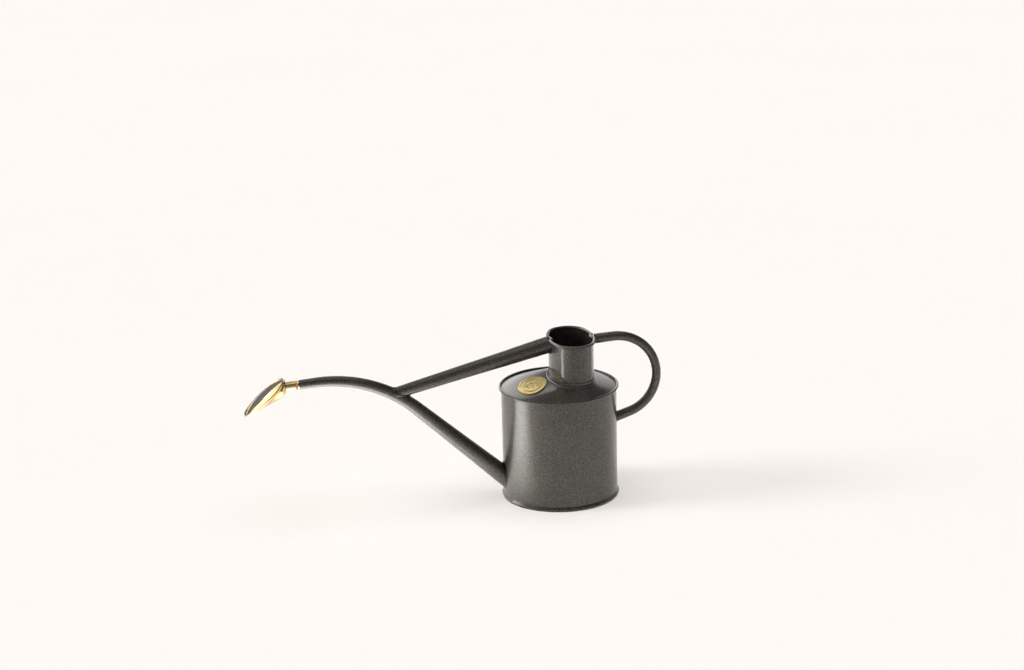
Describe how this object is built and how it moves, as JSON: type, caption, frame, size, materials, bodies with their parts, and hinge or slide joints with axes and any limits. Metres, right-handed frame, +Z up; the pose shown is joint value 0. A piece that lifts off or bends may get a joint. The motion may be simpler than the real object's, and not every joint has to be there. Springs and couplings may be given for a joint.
{
  "type": "watering can",
  "caption": "Small long-reach watering can: round body, oval filling neck, braced curved spout, loop handle and a pull-off oval rose.",
  "frame": {"origin": "centre of the can's round base, on the surface it stands on", "axes": "+Z up; +X away from the spout, toward the handle; Y across the can"},
  "size_m": [0.4171, 0.1198, 0.1649],
  "materials": {
    "graphite_paint": "satin graphite paint with a fine sparkle",
    "solder": "solder under the same paint",
    "brass": "polished, lightly brushed",
    "washer": "fibre sealing ring"
  },
  "bodies": {
    "can": {"body_barrel": "graphite_paint", "base_pan": "graphite_paint", "shoulder": "graphite_paint", "neck_tube": "graphite_paint", "spout": "graphite_paint", "spout_brace": "graphite_paint", "handle": "graphite_paint", "solder_spout": "solder", "solder_handle_foot": "solder", "solder_handle_neck": "solder", "solder_brace_neck": "solder", "solder_brace_spout": "solder", "spout_ferrule": "brass", "badge": "brass"},
    "washer": {"tip_washer": "washer"},
    "rose": {"rose_socket": "brass", "rose_shell": "brass", "rose_face": "brass"}
  },
  "joints": [
    {"name": "rose_turn", "type": "hinge", "parent": "can", "child": "washer", "pos_m": [-0.25748, 0, 0.13329], "axis": [-0.9976, 0, -0.0698], "continuous": true},
    {"name": "rose_pull", "type": "slide", "parent": "washer", "child": "rose", "axis": [-0.9976, 0, -0.0698], "range_m": [0, 0.02]}
  ]
}
